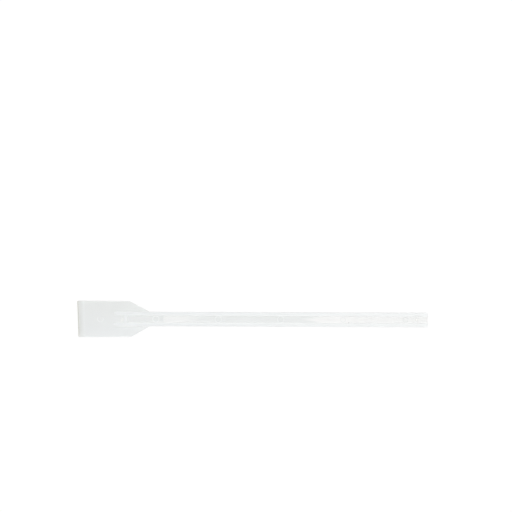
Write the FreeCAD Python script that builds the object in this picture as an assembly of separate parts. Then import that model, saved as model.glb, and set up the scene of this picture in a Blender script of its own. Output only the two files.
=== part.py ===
"""One-piece cell lifter, injection moulded in natural polyethylene.

A single plate, one wall thick, runs from the scraping edge to the far end of the handle.
Its wide front is the blade, bevelled on both faces to a thin edge. Its narrow rear is the web
of an H-section handle, with a rail along each side that stands proud of both faces.
The rails start on the blade as low toes, ramp up to full height and are tied together there
by a cross rib. The mould parts at half height, so the lower half mirrors the upper one, apart
from the round marks that the ejector pins and the gate leave in the upper face.

Frame: millimetres, +X from the scraping edge to the handle's tip, +Y across the blade,
+Z up. The lifter lies on its rails on the plane Z = 0, centred on X and Y.
"""

import FreeCAD
import Part

import math
import os

# Overall
overall_length = 180.0  # leading corner of the blade to the tips of the rails

# Blade
blade_width = 18.6  # along the scraping edge
blade_back_width = 18.2  # where the shoulders start
blade_side_length = 27.0  # scraping edge to the shoulders
shoulder_length = 10.0  # shoulders to the sides of the handle
edge_rake = 2.2  # degrees that the scraping edge is off square
bevel_length = 3.4
edge_thickness = 0.3  # flat land left at the scraping edge
leading_corner_radius = 0.25
trailing_corner_radius = 0.5
shoulder_radius = 0.8
neck_radius = 1.5  # inside corner between a shoulder and the handle
rim_radius = 0.12  # edge break round the blade

# Plate: blade and web
plate_thickness = 1.0
web_setback = 0.35  # tips of the rails to the end of the web
web_end_run = 0.9  # length over which the end of the web is rounded off
web_end_thickness = 0.5

# Handle
handle_width = 7.4
handle_height = 4.0
rail_width = 1.95  # at half height
draft = 2.0  # degrees, on every wall of the rails and the rib
rail_top_radius = 0.15
root_radius = 0.2
tip_radius = 0.6  # outer corner of a rail's tip, seen from above
rail_corner_radius = 0.45  # a rail's other corners
toe_from_edge = 18.6  # scraping edge to the toes of the rails
toe_height = 0.7  # of a toe above the blade
ramp_length = 4.6  # toe to crest
crest_radius = 3.0  # between the ramp and the top of the rail
rib_gap = 0.5  # crest to cross rib
rib_thickness = 1.7  # at half height

# Moulding marks in the upper face
pin_clearance = 0.05  # a mark's broken edge to the root radius of a rail
pin_depth = 0.15
pin_edge_break = 0.06
pin_inset = 11.5  # outermost pins, from the scraping edge and from the tip
pin_pitch = 32.05  # along the web
gate_inset = 5.9  # from the tip
gate_dimple_diameter = 1.6
gate_dimple_depth = 0.25
gate_nub_diameter = 0.6
gate_nub_height = 0.15  # above the bottom of the dimple

# Planes, slopes and stations worked out from the sizes above
mid_z = handle_height / 2
plate_top = mid_z + plate_thickness / 2
rake_slope = math.tan(math.radians(edge_rake))
draft_slope = math.tan(math.radians(draft))
tip_x = overall_length / 2
edge_x = -overall_length / 2 + rake_slope * blade_width / 2  # scraping edge on the centre line
shoulder_x = edge_x + blade_side_length
neck_x = shoulder_x + shoulder_length
web_end_x = tip_x - web_setback
toe_x = edge_x + toe_from_edge
crest_x = toe_x + ramp_length
rib_x = crest_x + rib_gap
rail_outer_y = handle_width / 2
rail_inner_y = rail_outer_y - rail_width
pin_diameter = 2 * (rail_inner_y - root_radius - pin_clearance - pin_edge_break)

SPARE = 1.0  # how far a solid that cuts or trims runs past what it cuts
OVERLAP = 0.05  # how far the plate's sides lie inside the rails
LEVEL = 0.7  # a level or gently sloping face has a normal with a larger Z than this
WALL = 0.3  # and a wall one with a smaller Z
PROBE = 0.02  # step off an edge, to tell an inside corner from an outside one


def vec(x, y, z):
    return FreeCAD.Vector(x, y, z)


def rounded_outline(corners):
    """A closed wire through corners, each given as a point and the radius that rounds it."""
    starts = []
    ends = []
    edges = []
    for i, (point, radius) in enumerate(corners):
        back = (corners[i - 1][0] - point).normalize()
        ahead = (corners[(i + 1) % len(corners)][0] - point).normalize()
        half_angle = back.getAngle(ahead) / 2
        reach = radius / math.tan(half_angle)
        starts.append(point + back * reach)
        ends.append(point + ahead * reach)
        if radius > 0:
            bisector = (back + ahead).normalize()
            middle = point + bisector * radius * (1 / math.sin(half_angle) - 1)
            edges.append(Part.Arc(starts[i], middle, ends[i]).toShape())
    for i, end in enumerate(ends):
        edges.append(Part.LineSegment(end, starts[(i + 1) % len(starts)]).toShape())
    return Part.Wire(Part.sortEdges(edges)[0])


def mirrored_down(shape):
    """The lower half of the mould's cavity, from the upper one."""
    return shape.mirror(vec(0, 0, mid_z), vec(0, 0, 1))


def faces_beside(shape, edge):
    """The outward normals of an edge's two faces at its middle, the steeper face first."""
    middle = edge.valueAt((edge.FirstParameter + edge.LastParameter) / 2)
    normals = []
    for face in shape.ancestorsOfType(edge, Part.Face):
        u, v = face.Surface.parameter(middle)
        normals.append(face.normalAt(u, v))
    normals.sort(key=lambda normal: abs(normal.z))
    return middle, normals


def edges_at_walls(shape, inside_corners):
    """The edges between a wall and a level face, on inside corners or on outside ones."""
    found = []
    for edge in shape.Edges:
        middle, normals = faces_beside(shape, edge)
        if len(normals) < 2 or abs(normals[0].z) > WALL or abs(normals[1].z) < LEVEL:
            continue
        under_floor_beyond_wall = middle + (normals[0] - normals[1]) * PROBE
        if shape.isInside(under_floor_beyond_wall, PROBE / 100, True) == inside_corners:
            found.append(edge)
    return found


# ---------------------------------------------------------------- plate: blade and web

def raked(x, y):
    """A corner of the blade: its corners are shifted along X with the scraping edge."""
    return vec(x - rake_slope * y, y, plate_top - plate_thickness)


def plate_outline():
    """The plate from above. Along the handle its sides lie just inside the rails."""
    side_y = rail_outer_y - OVERLAP
    shoulder_slope = (blade_back_width / 2 - rail_outer_y) / shoulder_length
    meet_x = neck_x + OVERLAP / shoulder_slope
    base_z = plate_top - plate_thickness
    return rounded_outline([
        (raked(edge_x, blade_width / 2), leading_corner_radius),
        (raked(edge_x, -blade_width / 2), trailing_corner_radius),
        (raked(shoulder_x, -blade_back_width / 2), shoulder_radius),
        (vec(meet_x, -side_y, base_z), neck_radius),
        (vec(web_end_x, -side_y, base_z), 0),
        (vec(web_end_x, side_y, base_z), 0),
        (vec(meet_x, side_y, base_z), neck_radius),
        (raked(shoulder_x, blade_back_width / 2), shoulder_radius),
    ])


def edge_bevel():
    """What is cut from above the plate to bevel it down to the scraping edge."""
    slope = (plate_thickness - edge_thickness) / 2 / bevel_length
    crease = vec(edge_x + bevel_length, 0, plate_top)
    front = vec(edge_x - SPARE, 0, plate_top - slope * (bevel_length + SPARE))
    section = Part.makePolygon([crease, front, front + vec(0, 0, 2 * plate_thickness), crease])
    along_edge = vec(-rake_slope, 1, 0) * (blade_width + 2 * SPARE)
    section.translate(along_edge * -0.5)
    return Part.Face(section).extrude(along_edge)


def web_end_rounding():
    """What is cut from above the web to round its end off, by an arc tangent to its top."""
    drop = (plate_thickness - web_end_thickness) / 2
    radius = (web_end_run ** 2 + drop ** 2) / (2 * drop)
    half_turn = math.asin(web_end_run / radius) / 2
    start = vec(web_end_x - web_end_run, -rail_outer_y, plate_top)
    middle = start + vec(radius * math.sin(half_turn), 0, radius * (math.cos(half_turn) - 1))
    end = start + vec(web_end_run, 0, -drop)
    beyond = end + vec(SPARE, 0, 0)
    above = beyond + vec(0, 0, 2 * plate_thickness)
    arc = Part.Arc(start, middle, end).toShape()
    rest = Part.makePolygon([end, beyond, above, vec(start.x, start.y, above.z), start])
    return Part.Face(Part.Wire([arc] + rest.Edges)).extrude(vec(0, 2 * rail_outer_y, 0))


def plate():
    blank = Part.Face(plate_outline()).extrude(vec(0, 0, plate_thickness))
    cutters = [edge_bevel(), web_end_rounding()]
    sharp = blank.cut(cutters + [mirrored_down(cutter) for cutter in cutters])
    rim = [edge for edge in edges_at_walls(sharp, False) if edge.BoundBox.XMin < neck_x]
    return sharp.makeFillet(min(rim_radius, 0.4 * edge_thickness), rim)


# ---------------------------------------------------------------- upper half of the handle

def drafted_column(x_min, x_max, y_min, y_max, radii):
    """A column that stands on the parting plane and narrows upwards by the draft.

    The sizes hold on the parting plane. The radii round the upright edges, from the one at
    (x_min, y_min) on, counter-clockwise.
    """
    height = handle_height - mid_z + SPARE
    inset = draft_slope * height
    foot = [(x_min, y_min), (x_max, y_min), (x_max, y_max), (x_min, y_max)]
    inward = [(1, 1), (-1, 1), (-1, -1), (1, -1)]
    lower = [vec(x, y, mid_z) for x, y in foot]
    upper = [low + vec(dx * inset, dy * inset, height) for low, (dx, dy) in zip(lower, inward)]
    rings = [lower, upper]
    for i in range(4):
        rings.append([lower[i - 1], lower[i], upper[i], upper[i - 1]])
    faces = [Part.Face(Part.makePolygon(ring + ring[:1])) for ring in rings]
    column = Part.Solid(Part.Shell(faces))
    for low, high, radius in zip(lower, upper, radii):
        if radius > 0:
            halfway = (low + high) / 2
            upright = min(column.Edges, key=lambda edge: edge.CenterOfMass.distanceToPoint(halfway))
            column = column.makeFillet(radius, [upright])
    return column


def rail_side_view():
    """Everything between the parting plane and the top of the rails, with the ramp at the toes."""
    toe_z = plate_top + toe_height
    ramp_slope = (handle_height - toe_z) / ramp_length
    front = vec(toe_x - SPARE, -blade_width, toe_z - ramp_slope * SPARE)
    outline = rounded_outline([
        (vec(front.x, front.y, mid_z), 0),
        (front, 0),
        (vec(crest_x, front.y, handle_height), crest_radius),
        (vec(tip_x + SPARE, front.y, handle_height), 0),
        (vec(tip_x + SPARE, front.y, mid_z), 0),
    ])
    return Part.Face(outline).extrude(vec(0, 2 * blade_width, 0))


def rail():
    """The rail on the +Y side."""
    radii = (rail_corner_radius, rail_corner_radius, tip_radius, rail_corner_radius)
    return drafted_column(toe_x, tip_x, rail_inner_y, rail_outer_y, radii)


def cross_rib():
    """Its ends lie inside the rails."""
    half_length = (rail_inner_y + rail_outer_y) / 2
    return drafted_column(rib_x, rib_x + rib_thickness, -half_length, half_length, (0, 0, 0, 0))


def upper_half_of_handle():
    far_rail = rail()
    near_rail = far_rail.mirror(vec(0, 0, 0), vec(0, 1, 0))
    columns = far_rail.multiFuse([near_rail, cross_rib()])
    half = columns.common(rail_side_view()).removeSplitter().Solids[0]
    rail_top_width = rail_width - 2 * draft_slope * (handle_height - mid_z)
    corner_radius = min(tip_radius, rail_corner_radius)
    radius = min(rail_top_radius, 0.45 * rail_top_width, 0.8 * corner_radius, 0.6 * toe_height)
    tops = [edge for edge in edges_at_walls(half, False) if edge.CenterOfMass.z > plate_top]
    return half.makeFillet(radius, tops)


# ---------------------------------------------------------------- moulding marks

def pin_mark(x):
    """What an ejector pin at x takes from the upper face: a flat recess with a broken edge."""
    radius = pin_diameter / 2
    section = Part.makePolygon([
        vec(0, 0, plate_top - pin_depth),
        vec(radius, 0, plate_top - pin_depth),
        vec(radius, 0, plate_top - pin_edge_break),
        vec(radius + pin_edge_break, 0, plate_top),
        vec(radius + pin_edge_break, 0, plate_top + SPARE),
        vec(0, 0, plate_top + SPARE),
        vec(0, 0, plate_top - pin_depth),
    ])
    mark = Part.Face(section).revolve(vec(0, 0, 0), vec(0, 0, 1), 360)
    mark.translate(vec(x, 0, 0))
    return mark


def pin_stations():
    """One pin behind the scraping edge, and as many along the web as its length has room for."""
    stations = [edge_x + pin_inset]
    x = tip_x - pin_inset
    while x > rib_x + rib_thickness + pin_diameter:
        stations.append(x)
        x -= pin_pitch
    return stations


def gate_mark():
    """What the gate takes from the web: a dimple round the nub where the runner broke off."""
    dimple_radius = gate_dimple_diameter / 2
    ball_radius = (dimple_radius ** 2 + gate_dimple_depth ** 2) / (2 * gate_dimple_depth)
    bottom = vec(tip_x - gate_inset, 0, plate_top - gate_dimple_depth)
    ball = Part.makeSphere(ball_radius, bottom + vec(0, 0, ball_radius))
    nub_radius = gate_nub_diameter / 2
    nub = Part.makeCylinder(nub_radius, gate_nub_height + SPARE, bottom - vec(0, 0, SPARE))
    return ball.cut(nub)


# ---------------------------------------------------------------- the lifter

def lifter():
    upper = upper_half_of_handle()
    body = plate().multiFuse([upper, mirrored_down(upper)]).removeSplitter().Solids[0]
    roots = edges_at_walls(body, True)
    body = body.makeFillet(min(root_radius, 0.3 * toe_height), roots)
    marks = [pin_mark(x) for x in pin_stations()]
    return body.cut(marks + [gate_mark()]).Solids[0]


os.makedirs("parts", exist_ok=True)
lifter().exportStep("parts/cell_lifter.step")
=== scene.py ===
"""Looks of the one-piece cell lifter: natural polyethylene under plain soft studio light.

Metres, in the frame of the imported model: +X from the scraping edge to the handle's tip,
+Y across the blade, +Z up, with the rails lying on the plane Z = 0.
"""

import math

import bpy
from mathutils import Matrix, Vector

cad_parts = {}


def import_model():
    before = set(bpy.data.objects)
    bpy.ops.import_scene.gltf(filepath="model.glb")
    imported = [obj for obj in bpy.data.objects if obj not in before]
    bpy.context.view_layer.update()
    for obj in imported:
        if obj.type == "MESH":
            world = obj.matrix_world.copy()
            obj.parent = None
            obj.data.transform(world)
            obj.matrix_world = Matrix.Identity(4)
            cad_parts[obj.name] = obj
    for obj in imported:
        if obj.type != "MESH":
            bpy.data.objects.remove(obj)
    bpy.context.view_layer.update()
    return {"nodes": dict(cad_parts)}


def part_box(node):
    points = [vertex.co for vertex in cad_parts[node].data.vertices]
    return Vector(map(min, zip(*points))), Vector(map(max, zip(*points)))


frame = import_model()

MM = 0.001
NODE = "cell_lifter"
lowest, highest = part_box(NODE)
mid_z = (lowest.z + highest.z) / 2
length = highest.x - lowest.x

# Sizes of the moulding, for placing its colour
RAKE = math.tan(math.radians(2.2))  # how far the scraping edge leans, per unit of width
HALF_PLATE = 0.5 * MM
HALF_WEB = 1.75 * MM
HALF_HANDLE = 3.7 * MM
HALF_RAIL = (HALF_HANDLE - HALF_WEB) / 2
HALF_RIB = 0.85 * MM
BEVEL = 3.4 * MM
RIM = 0.35 * MM  # the thinnest of the bevel, along the scraping edge
edge_x = lowest.x + RAKE * highest.y  # scraping edge on the centre line
toe_x = edge_x + 18.6 * MM  # toes of the rails
rib_x = edge_x + 25.4 * MM  # rear face of the cross rib
slope_x = edge_x + 34 * MM  # on the slopes by which the blade narrows to the handle
tip_x = highest.x

# Ejector pin marks and the gate
PIN_RADIUS = 1.44 * MM
PIN_INSET = 11.5 * MM  # outermost pins, from the scraping edge and from the tip
PIN_PITCH = 32.05 * MM
GATE_INSET = 5.9 * MM  # centre of the gate's dimple, from the tip

# Picture
SENSOR_WIDTH = 36.0  # mm, as the lens is
PICTURE_WIDTH = 1.46 * length
CAMERA_HEIGHT = 2.5
CAMERA_AIM = Vector((1.61 * MM, 32.57 * MM, mid_z))  # the lifter lies below the picture's middle
CAMERA_ROLL = math.radians(0.2)  # the lifter lay this much off square

# Studio. Shares are of the light under which white shows as white
SKY_SHARE = 0.53
LAMPS = {  # place, size and share
    "key": ((-0.35, 0.3, 1.15), 0.7, 0.11),
    "right": ((0.4, -0.1, 1.15), 0.8, 0.1),
    "top": ((0.0, 0.0, 1.25), 0.8, 0.32),
}
FLOOR_SIZE = 6.0
PAPER = 0.9  # what the floor throws back on the lifter
FLOOR_GLOW = 0.82  # of the floor as it is seen
FLOOR_SHADED = 0.22  # and what it throws back there, which shows the lifter's shadow


# ---------------------------------------------------------------- shader nodes

def grey(level):
    return (level, level, level, 1)


def srgb(red, green, blue):
    """A colour written as on a screen, 0 to 255, in the renderer's linear values."""
    def linear(part):
        part = part / 255
        return part / 12.92 if part <= 0.04045 else ((part + 0.055) / 1.055) ** 2.4
    return (linear(red), linear(green), linear(blue), 1.0)


class Shader:
    """Builds a node tree, a node at a time. A value is a constant or another node's output."""

    def __init__(self, owner):
        owner.use_nodes = True
        self.tree = owner.node_tree
        self.tree.nodes.clear()

    def put(self, node, socket, value):
        target = node.inputs[socket]
        if isinstance(value, bpy.types.NodeSocket):
            self.tree.links.new(value, target)
        else:
            target.default_value = value

    def node(self, kind, **inputs):
        """A node with its inputs set by name, with _ for a space."""
        made = self.tree.nodes.new("ShaderNode" + kind)
        for name, value in inputs.items():
            self.put(made, name.replace("_", " "), value)
        return made

    def join(self, kind, first_socket, *values, **inputs):
        """The output of a node that takes values in a row, from first_socket on."""
        made = self.node(kind, **inputs)
        for i, value in enumerate(values):
            self.put(made, first_socket + i, value)
        return made.outputs[0]

    def math(self, operation, *values, kind="Math"):
        made = self.node(kind)
        made.operation = operation
        for i, value in enumerate(values):
            self.put(made, i, value)
        return made.outputs[0]

    def minus(self, value, taken):
        return self.math("SUBTRACT", value, taken)

    def absolute(self, value):
        return self.math("ABSOLUTE", value)

    def greater(self, first, second):
        return self.math("MAXIMUM", first, second)

    def product(self, *factors):
        result = factors[0]
        for factor in factors[1:]:
            result = self.math("MULTIPLY", result, factor)
        return result

    def distance(self, x, y, centre_x, centre_y):
        along = self.math("POWER", self.minus(x, centre_x), 2.0)
        across = self.math("POWER", self.minus(y, centre_y), 2.0)
        return self.math("SQRT", self.math("ADD", along, across))

    def ramp(self, value, low, high, to_low=0.0, to_high=1.0, kind="SMOOTHSTEP"):
        """value from low to high becomes to_low to to_high, and stays there beyond."""
        made = self.node("MapRange", Value=value)
        made.interpolation_type = kind
        bounds = {"From Min": low, "From Max": high, "To Min": to_low, "To Max": to_high}
        for socket, bound in bounds.items():
            self.put(made, socket, bound)
        return made.outputs["Result"]

    def line(self, value, low, high, to_low=0.0, to_high=1.0):
        """A ramp at one slope, with no easing at its ends."""
        return self.ramp(value, low, high, to_low, to_high, kind="LINEAR")

    def beyond(self, value, limit, blur):
        """0 where value is under limit, rising to 1 over blur."""
        return self.ramp(value, limit, limit + blur)

    def within(self, value, limit, blur, share=1.0):
        """share where value is under limit, fading to 0 over blur."""
        return self.ramp(value, limit, limit + blur, share, 0.0)

    def band(self, value, centre, half_width, blur):
        """1 where value is within half_width of centre, fading to 0 over blur."""
        return self.within(self.absolute(self.minus(value, centre)), half_width, blur)

    def noise(self, place, scale, detail=2.0):
        """Noise of so many features a metre along each axis."""
        stretched = self.node("Mapping", Vector=place, Scale=scale).outputs[0]
        return self.node("TexNoise", Vector=stretched, Scale=1.0, Detail=detail).outputs["Fac"]

    def mix(self, factor, first, second):
        """A colour from first to second as factor goes from 0 to 1."""
        made = self.node("Mix")
        made.data_type = "RGBA"
        self.put(made, 0, factor)
        self.put(made, 6, first)
        self.put(made, 7, second)
        return made.outputs[2]

    def paint(self, tone, colour, *shares):
        """tone, covered with as much of colour as the product of the shares says."""
        return self.mix(self.product(*shares), tone, colour)

    def output(self, kind, surface):
        made = self.tree.nodes.new(kind)
        self.put(made, "Surface", surface)


# ---------------------------------------------------------------- places on the moulding

def stretch(far, near):
    """Two places along the lifter, given in mm from its tip."""
    return (tip_x - far * MM, tip_x - near * MM)


PLAIN_WEB_END = stretch(70, 60)  # the pin marks look different before and after it


class Moulding(Shader):
    """The plastic's shader, with the distances in metres and the regions that its looks go by.

    A region is 1 inside and 0 outside.
    """

    def __init__(self, owner):
        super().__init__(owner)
        self.place = self.node("TexCoord").outputs["Object"]
        split = self.node("SeparateXYZ", Vector=self.place)
        self.x, self.y, self.z = split.outputs
        self.set_distances()
        self.set_regions()

    def set_distances(self):
        self.across = self.absolute(self.y)
        lean = self.math("MULTIPLY", self.y, RAKE)
        self.from_edge = self.minus(self.math("ADD", self.x, lean), edge_x)
        self.above_plate = self.minus(self.absolute(self.minus(self.z, mid_z)), HALF_PLATE)
        self.from_rail = self.absolute(self.minus(self.across, (HALF_WEB + HALF_HANDLE) / 2))
        self.from_rib = self.absolute(self.minus(self.x, rib_x - HALF_RIB))
        to_pin = self.math("PINGPONG", self.minus(tip_x - PIN_INSET, self.x), PIN_PITCH / 2)
        self.from_web_pin = self.distance(to_pin, self.y, 0.0, 0.0)
        self.from_blade_pin = self.distance(self.x, self.y, edge_x + PIN_INSET, 0.0)

    def set_regions(self):
        self.upper_half = self.beyond(self.z, mid_z, blur=0.1 * MM)
        self.upper_face = self.product(
            self.upper_half,
            self.within(self.above_plate, 0.05 * MM, blur=0.1 * MM))
        self.on_rail = self.beyond(self.above_plate, 0.2 * MM, blur=1 * MM)
        self.off_rail = self.minus(1.0, self.on_rail)
        self.between_rails = self.within(self.across, HALF_WEB, blur=0.2 * MM)
        self.on_web = self.product(
            self.upper_face,
            self.within(self.across, HALF_WEB, blur=0.1 * MM),
            self.beyond(self.x, rib_x, blur=0.5 * MM))
        self.plain_web = self.ramp(self.x, *PLAIN_WEB_END, 1.0, 0.0)


# ---------------------------------------------------------------- colour of the plastic, with painted gradients of light and painted shade on the bevel

RAIL_TONES = (srgb(230, 232.7, 233.1), srgb(237.5, 239.6, 239.4))  # scraping edge to tip, whiter towards the tip as a painted gradient of light
PLATE_TONES = (srgb(229, 231.2, 231.4), srgb(226, 227.8, 226.7))  # -Y side to +Y side, lighter towards -Y as a painted gradient of light
THIN_TONES = (srgb(217, 218, 216), srgb(213, 214, 211))  # the same, where the bevel ends at its thinnest, darker as painted shade
CREASE_TONE = srgb(232, 234, 234)  # where it starts, lighter as a painted highlight along the crease
# painted shade: a dark line along the scraping edge
RIM_TONE = srgb(172, 172, 154)
SIDE_REACH = 9 * MM  # from the centre line to where a side's tone is full


def plate_and_rails(s, side):
    """The plate is lighter and cooler to the -Y side, and the rails whiter towards the tip, both painted
    gradients of light. The rails are bluer.
    """
    plate = s.mix(side, *PLATE_TONES)
    rails = s.mix(s.line(s.x, edge_x, tip_x), *RAIL_TONES)
    return s.mix(s.on_rail, plate, rails)


def bevel(s, side, tone):
    """The bevel thins to the scraping edge; its darkening towards the edge and the dark line along it
    are painted shade, and its crease has a painted highlight.
    """
    thin = s.mix(side, *THIN_TONES)
    bevelled = s.mix(s.line(s.from_edge, RIM, BEVEL), thin, CREASE_TONE)
    tone = s.paint(tone, bevelled, s.within(s.from_edge, BEVEL - 0.2 * MM, blur=0.5 * MM))
    return s.paint(tone, RIM_TONE, s.within(s.from_edge, 0.0, blur=RIM))


# ---------------------------------------------------------------- painted light and painted glow at the rails' walls, edges and feet

# painted light, brightening walls, feet and edges against their shade
LIT_TONE = srgb(246, 249, 248)
EDGE_SHARE = 0.45
EDGE = 0.35 * MM  # over which a painted highlight brightens a rounded edge
WALL_SLOPE = (0.75, 0.98)  # a wall's normal has a Z under the first, and a face's over the second
# painted light on the plate beside the rails
NEAR_TONE = srgb(244, 246, 245)
NEAR_SHARE = 0.05
NEAR_REACH = 3 * MM
FOOT = 0.5 * MM  # from a wall at half height to where its foot has ended
GLOW_SHARES = (0.13, 0.04)  # of the painted glow, up to the +Y rail, and outside it
TOE_SHARE = 0.2  # of that glow, at the toes


def walls(s):
    """Walls and feet of the rails and the rib, which get painted light against their shade and a painted
    glow.
    """
    normal_z = s.node("SeparateXYZ", Vector=s.node("TexCoord").outputs["Normal"]).outputs[2]
    steep = s.product(
        s.ramp(s.absolute(normal_z), *WALL_SLOPE, 1.0, 0.0),
        s.beyond(s.above_plate, -0.05 * MM, blur=0.1 * MM))
    rail_foot = s.product(
        s.within(s.from_rail, HALF_RAIL + 0.05 * MM, blur=0.25 * MM),
        s.beyond(s.x, toe_x, blur=2 * MM))
    rib_foot = s.product(
        s.within(s.from_rib, HALF_RIB + 0.15 * MM, blur=0.35 * MM),
        s.between_rails)
    return s.greater(steep, s.product(s.greater(rail_foot, rib_foot), s.off_rail))


def edges(s):
    """Rounded edges along the tops of the rails and the rib, which get painted highlights, the outer
    ones by the blade only.
    """
    inner = s.product(
        s.within(s.across, HALF_WEB + 0.2 * MM, blur=EDGE),
        s.beyond(s.from_rib, HALF_RIB - 0.3 * MM, blur=0.3 * MM))
    outer = s.product(
        s.beyond(s.across, HALF_HANDLE - 0.2 * MM - EDGE, blur=EDGE),
        s.within(s.x, slope_x - 2 * MM, blur=4 * MM))
    rail_edge = s.product(
        s.greater(inner, outer),
        s.beyond(s.across, HALF_WEB, blur=0.05 * MM))
    rib_edge = s.product(
        s.beyond(s.from_rib, HALF_RIB - 0.15 * MM - EDGE, blur=EDGE),
        s.between_rails)
    return s.product(s.greater(rail_edge, rib_edge), s.on_rail)


def near_rails(s):
    """The plate beside the rails, from the toes on, with painted light against the shade there."""
    start = HALF_RAIL + FOOT
    return s.product(
        s.line(s.from_rail, start, start + NEAR_REACH, NEAR_SHARE, 0.0),
        s.ramp(s.x, toe_x, rib_x),
        s.off_rail)


def glow(s, wall):
    """Strength of a painted glow given off by the walls, which grows along the ramps."""
    by_rib = s.product(
        s.between_rails,
        s.within(s.from_rib, HALF_RIB + FOOT, blur=FOOT))
    return s.product(
        wall,
        s.ramp(s.y, HALF_WEB, HALF_HANDLE, *GLOW_SHARES),
        s.line(s.x, toe_x, rib_x, TOE_SHARE, 1.0),
        s.minus(1.0, by_rib))


# ---------------------------------------------------------------- painted highlights and tone of the web

WEB_TONE = srgb(211, 210, 209)
WEB_SHARE = 0.15
# painted highlight colour for two bright stretches of the web
WEB_HIGHLIGHT_TONE = srgb(255, 252, 251)
FIRST_FRONT = stretch(136.2, 135.6)
FIRST_FADE = stretch(128, 116)
FIRST_SHARE = 0.21
FRONT_BOW = 4 * MM  # the first front is bowed by the square of Y over this
SECOND_FRONT = stretch(67, 58)
SECOND_FADE = stretch(45, 30)
SECOND_SHARES = (0.34, 0.27)
FRONT_POINT = 4.0  # the second front lags by so many times the distance across
WISPS = (60, 700, 1)  # features a metre
WISP_NOISE = (0.25, 0.6)
WISP_SHARES = (0.85, 1.0)
PIN_SHARE = 0.9  # of the painted highlights, inside a pin mark
PLAIN_WEB_LOSS = 0.4  # how much less of it that is on the plain web
PIN_HALO = (1.1 * MM, 1.6 * MM)  # where the painted highlights are whole again
FRONT_SHADE_TONE = srgb(214, 218, 218)
FRONT_SHADE_SHARE = 0.22
front_shade_x = tip_x - 136.9 * MM  # painted shade, a thin dark line ahead of the first front


def painted_web_highlights(s):
    """Painted highlights: two bright stretches of the web, with soft fronts and wisps."""
    bowed = s.minus(s.x, s.math("DIVIDE", s.math("POWER", s.y, 2.0), FRONT_BOW))
    first = s.product(s.ramp(bowed, *FIRST_FRONT), s.ramp(s.x, *FIRST_FADE, FIRST_SHARE, 0.0))
    pointed = s.minus(s.x, s.math("MULTIPLY", s.across, FRONT_POINT))
    second = s.product(s.ramp(pointed, *SECOND_FRONT), s.ramp(s.x, *SECOND_FADE, *SECOND_SHARES))
    wisps = s.ramp(s.noise(s.place, WISPS), *WISP_NOISE, *WISP_SHARES)
    pin_share = s.minus(PIN_SHARE, s.product(s.plain_web, PLAIN_WEB_LOSS))
    off_pin = s.ramp(s.from_web_pin, *PIN_HALO, pin_share, 1.0)
    return s.product(s.on_web, s.greater(first, second), wisps, off_pin)


# Painted shade along the front of the first painted highlight.
def painted_front_shade(s):
    return s.product(s.on_web, s.band(s.x, front_shade_x, 0.3 * MM, blur=1.1 * MM), FRONT_SHADE_SHARE)


# ---------------------------------------------------------------- marks of pins and gate with painted light and shade, a painted bright spot, and a speck

# painted shade in the pin recesses
PIN_TONE = srgb(214, 218, 217)
DISC_RADIUS = 1.1 * MM
DISC_SHARE = 0.12
RING = 0.1 * MM  # half the width of every ring
DARK_RING_RADIUS = 1.25 * MM
DARK_RING_SHARE = 0.28
# painted highlight on the pin rings
RING_TONE = srgb(253, 255, 255)
WHITE_RING_RADIUS = 1.6 * MM
WHITE_RING_SHARE = 0.3
BLADE_RING_SHARE = 0.28
# painted highlights: a bright spot ahead of the rib and one at the gate's dimple
SPOT_TONE = srgb(255, 254, 250)
SPOT_SHARE = 0.3
SPOT_Y = -0.3 * MM
SPOT_LEAN = 0.45  # of its front, per unit of width
SPOT_LENGTH = 1.5 * MM
SPOT_HALF_WIDTH = 0.65 * MM
SPOT_FADE = 0.4 * MM
spot_x = tip_x - 156.1 * MM  # where the spot has ended, ahead of the rib
DIMPLE_RADIUS = 0.6 * MM
SPECK_TONE = srgb(172, 172, 168)
SPECK_Y = -1.6 * MM
SPECK_RADIUS = 0.12 * MM
speck_x = tip_x - 40.7 * MM


def dark_pins(s):
    """Painted shade in the pin recesses: a dark disc in each pin mark of the plain web, and a dark ring
    in those within the painted highlights.
    """
    disc = s.product(
        s.on_web,
        s.within(s.from_web_pin, DISC_RADIUS, blur=0.3 * MM, share=DISC_SHARE),
        s.plain_web)
    ring = s.product(
        s.on_web,
        s.band(s.from_web_pin, DARK_RING_RADIUS, RING, blur=0.25 * MM),
        s.minus(DARK_RING_SHARE, s.product(s.plain_web, DARK_RING_SHARE)))
    return s.greater(disc, ring)


def white_rings(s):
    """Painted highlights: bright rings round the pin marks of the plain web, and round half of the
    blade's, where its recess wall faces the light.
    """
    on_web = s.product(
        s.on_web,
        s.band(s.from_web_pin, WHITE_RING_RADIUS, RING, blur=0.2 * MM),
        s.plain_web,
        WHITE_RING_SHARE)
    on_blade = s.product(
        s.upper_face,
        s.band(s.from_blade_pin, PIN_RADIUS, RING, blur=0.2 * MM),
        s.within(s.y, 0.3 * MM, blur=0.7 * MM, share=BLADE_RING_SHARE))
    return s.greater(on_web, on_blade)


def bright_spots(s):
    """Painted highlights: a bright spot ahead of the rib, and one at the gate's dimple."""
    slanted = s.minus(s.x, s.math("MULTIPLY", s.y, SPOT_LEAN))
    spot = s.product(
        s.upper_face,
        s.band(s.y, SPOT_Y, SPOT_HALF_WIDTH, blur=0.55 * MM),
        s.beyond(slanted, spot_x - SPOT_LENGTH, blur=0.7 * MM),
        s.within(s.x, spot_x - SPOT_FADE, blur=SPOT_FADE, share=SPOT_SHARE))
    from_gate = s.distance(s.x, s.y, tip_x - GATE_INSET, 0.0)
    dimple = s.product(
        s.within(from_gate, DIMPLE_RADIUS, blur=0.3 * MM, share=SPOT_SHARE),
        s.upper_half)
    return s.greater(spot, dimple)


def speck(s):
    """A speck burnt into the web."""
    from_speck = s.distance(s.x, s.y, speck_x, SPECK_Y)
    return s.product(s.on_web, s.within(from_speck, SPECK_RADIUS, blur=0.16 * MM))


# ---------------------------------------------------------------- skin and body

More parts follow.
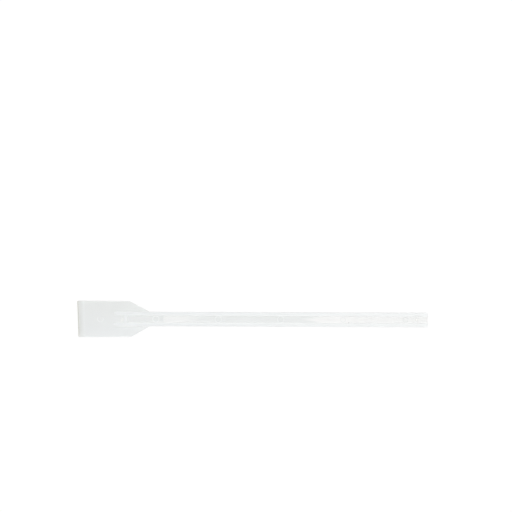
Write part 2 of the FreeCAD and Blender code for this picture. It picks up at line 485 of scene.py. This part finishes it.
LIFT = 2.0  # how strongly the rails' normals are turned to face up or down
GRAIN = (2500, 2500, 2500)  # features a metre, as in the next two
WAVES = (120, 300, 120)
PATCHES = (220, 220, 220)  # of more and less gloss
PATCH_NOISE = (0.3, 0.7)
ROUGHNESS = (0.36, 0.46)
CLEAR_DEPTH = 0.8 * MM  # how deep light goes into the plastic
WHITE_DEPTH = 0.3 * MM  # and where light, glow or highlights are painted


def softened_normal(s):
    """Light spreads in the plastic further than the rails are high, which softens their shading."""
    in_rails = s.beyond(s.above_plate, -0.01 * MM, blur=0.01 * MM)
    lift = s.product(in_rails, s.math("SIGN", s.minus(s.z, mid_z)), LIFT)
    outward = s.node("NewGeometry").outputs["Normal"]
    up_or_down = s.node("CombineXYZ", Z=lift).outputs[0]
    turned = s.math("ADD", outward, up_or_down, kind="VectorMath")
    return s.math("NORMALIZE", turned, kind="VectorMath")


def satin_skin(s):
    """Fine grain from the mould, and slow waviness from shrinking."""
    grain = s.node("Bump", Strength=0.12, Distance=0.02 * MM, Height=s.noise(s.place, GRAIN, detail=3.0),
                   Normal=softened_normal(s))
    waves = s.node("Bump", Strength=0.1, Distance=0.05 * MM, Height=s.noise(s.place, WAVES),
                   Normal=grain.outputs[0])
    return waves.outputs[0]


def polyethylene():
    material = bpy.data.materials.new("polyethylene")
    s = Moulding(material)
    # across the lifter, for the painted gradient of light from the -Y side to the +Y side
    side = s.line(s.y, -SIDE_REACH, SIDE_REACH)
    # wall and lit carry painted light, and wall a painted glow
    wall = walls(s)
    lit = s.greater(wall, s.product(edges(s), EDGE_SHARE))
    web_highlight = painted_web_highlights(s)
    rings = white_rings(s)

    # the tone starts with painted gradients of light across the plate and along the rails
    tone = plate_and_rails(s, side)
    # painted light beside the rails and on their walls, feet and edges
    tone = s.paint(tone, NEAR_TONE, near_rails(s))
    tone = s.paint(tone, LIT_TONE, lit)
    # painted shade along the bevel and its edge, with a painted highlight at the crease
    tone = bevel(s, side, tone)
    tone = s.paint(tone, WEB_TONE, s.on_web, WEB_SHARE)
    # painted highlights on the web
    tone = s.paint(tone, WEB_HIGHLIGHT_TONE, web_highlight)
    # painted shade ahead of the first painted highlight
    tone = s.paint(tone, FRONT_SHADE_TONE, painted_front_shade(s))
    # painted shade and painted highlights at the pin marks
    tone = s.paint(tone, PIN_TONE, dark_pins(s))
    tone = s.paint(tone, RING_TONE, rings)
    # painted highlights at the spot and the dimple
    tone = s.paint(tone, SPOT_TONE, bright_spots(s))
    tone = s.paint(tone, SPECK_TONE, speck(s))

    # where painted highlights and painted light lie
    painted_bright = s.greater(s.greater(web_highlight, rings), lit)
    depth = s.line(painted_bright, 0.0, 1.0, CLEAR_DEPTH, WHITE_DEPTH)
    rough = s.ramp(s.noise(s.place, PATCHES, detail=4.0), *PATCH_NOISE, *ROUGHNESS)
    # the emission on the walls is a painted glow
    body = s.node("BsdfPrincipled", Base_Color=tone, Roughness=rough, Normal=satin_skin(s),
                  Emission_Color=grey(1), Emission_Strength=glow(s, wall),
                  IOR=1.51, Specular_IOR_Level=0.4, Subsurface_Weight=1.0,
                  Subsurface_Radius=(1.0, 1.0, 1.0), Subsurface_Scale=depth)
    s.output("ShaderNodeOutputMaterial", body.outputs[0])
    return material


# ---------------------------------------------------------------- studio

def seen(s, lighting, shown):
    """lighting is what lights the lifter.

    shown is what the camera sees, itself, in a reflection or through a surface.
    """
    path = s.node("LightPath")
    camera_or_glossy = s.greater(path.outputs["Is Camera Ray"], path.outputs["Is Glossy Ray"])
    directly = s.greater(camera_or_glossy, path.outputs["Is Transmission Ray"])
    return s.join("MixShader", 1, lighting, shown, Fac=directly)


def floor():
    bpy.ops.mesh.primitive_plane_add(size=FLOOR_SIZE, location=(0, 0, 0))
    plane = bpy.context.object
    plane.name = "floor"
    material = bpy.data.materials.new("floor_white")
    s = Shader(material)
    paper = s.node("BsdfDiffuse", Color=grey(PAPER)).outputs[0]
    shaded = s.node("BsdfDiffuse", Color=grey(FLOOR_SHADED)).outputs[0]
    shining = s.node("Emission", Color=grey(1), Strength=FLOOR_GLOW).outputs[0]
    bright = s.join("AddShader", 0, shaded, shining)
    s.output("ShaderNodeOutputMaterial", seen(s, paper, bright))
    plane.data.materials.append(material)


def world():
    made = bpy.data.worlds.new("studio")
    bpy.context.scene.world = made
    s = Shader(made)
    sky = s.node("Background", Color=grey(1), Strength=SKY_SHARE).outputs[0]
    white = s.node("Background", Color=grey(1), Strength=1.0).outputs[0]
    s.output("ShaderNodeOutputWorld", seen(s, sky, white))


def lamp(name, place, size, share):
    """A square softbox aimed at the origin, which gives the floor there this share of its light."""
    away = Vector(place)
    data = bpy.data.lights.new(name, "AREA")
    data.size = size
    data.energy = share * math.pi ** 2 * away.length ** 3 / away.z
    made = bpy.data.objects.new(name, data)
    made.location = away
    made.rotation_euler = (-away).to_track_quat("-Z", "Y").to_euler()
    bpy.context.scene.collection.objects.link(made)


def camera():
    """A camera that looks straight down."""
    data = bpy.data.cameras.new("camera")
    data.sensor_width = SENSOR_WIDTH
    data.lens = SENSOR_WIDTH * CAMERA_HEIGHT / PICTURE_WIDTH
    made = bpy.data.objects.new("camera", data)
    made.location = CAMERA_AIM + Vector((0, 0, CAMERA_HEIGHT))
    made.rotation_euler.z = CAMERA_ROLL
    bpy.context.scene.collection.objects.link(made)
    bpy.context.scene.camera = made


lifter = frame["nodes"][NODE]
lifter.data.materials.clear()
lifter.data.materials.append(polyethylene())
floor()
world()
for name, (place, size, share) in LAMPS.items():
    lamp(name, place, size, share)
camera()
bpy.context.scene.view_settings.view_transform = "Standard"
